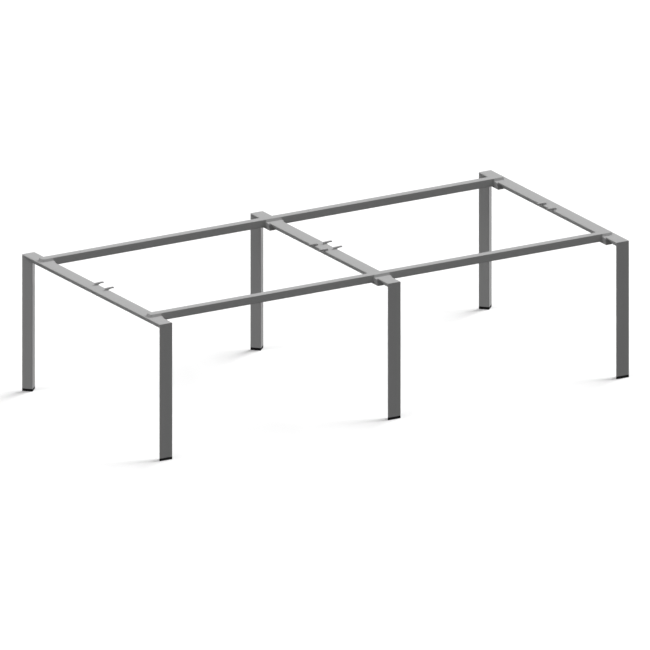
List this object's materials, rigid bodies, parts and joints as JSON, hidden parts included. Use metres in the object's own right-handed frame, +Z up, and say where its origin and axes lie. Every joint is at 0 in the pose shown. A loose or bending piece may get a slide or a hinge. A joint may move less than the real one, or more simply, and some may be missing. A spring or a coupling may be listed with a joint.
{
  "type": "bench table frame with triangular legs",
  "caption": "Bench table frame: portal leg frames of triangular steel tube joined by square rails on cast clamps, with plastic feet and cable tray hooks.",
  "frame": {"origin": "on the floor under the middle of the frame", "axes": "+X along the bench, +Y across it towards the rear rails, +Z up"},
  "size_m": [2.74, 1.36, 0.7335],
  "materials": {
    "frame_paint": "satin powder coat",
    "clamp_casting": "satin powder coat on cast aluminium",
    "foot_plastic": "fine spark texture",
    "zinc_steel": "bright zinc plate"
  },
  "bodies": {
    "root": {"left_cross_beam": "frame_paint", "left_front_leg": "frame_paint", "left_front_foot": "foot_plastic", "left_rear_leg": "frame_paint", "left_rear_foot": "foot_plastic", "middle_cross_beam": "frame_paint", "middle_front_leg": "frame_paint", "middle_front_foot": "foot_plastic", "middle_rear_leg": "frame_paint", "middle_rear_foot": "foot_plastic", "right_cross_beam": "frame_paint", "right_front_leg": "frame_paint", "right_front_foot": "foot_plastic", "right_rear_leg": "frame_paint", "right_rear_foot": "foot_plastic", "left_bay_front_rail": "frame_paint", "left_bay_rear_rail": "frame_paint", "right_bay_front_rail": "frame_paint", "right_bay_rear_rail": "frame_paint", "left_bay_front_left_clamp": "clamp_casting", "left_bay_front_right_clamp": "clamp_casting", "left_bay_rear_left_clamp": "clamp_casting", "left_bay_rear_right_clamp": "clamp_casting", "right_bay_front_left_clamp": "clamp_casting", "right_bay_front_right_clamp": "clamp_casting", "right_bay_rear_left_clamp": "clamp_casting", "right_bay_rear_right_clamp": "clamp_casting", "left_bay_front_left_hook": "frame_paint", "left_bay_front_right_hook": "frame_paint", "left_bay_rear_left_hook": "frame_paint", "left_bay_rear_right_hook": "frame_paint", "right_bay_front_left_hook": "frame_paint", "right_bay_front_right_hook": "frame_paint", "right_bay_rear_left_hook": "frame_paint", "right_bay_rear_right_hook": "frame_paint", "clamp_bolts": "zinc_steel", "rail_screws": "zinc_steel"}
  },
  "joints": []
}
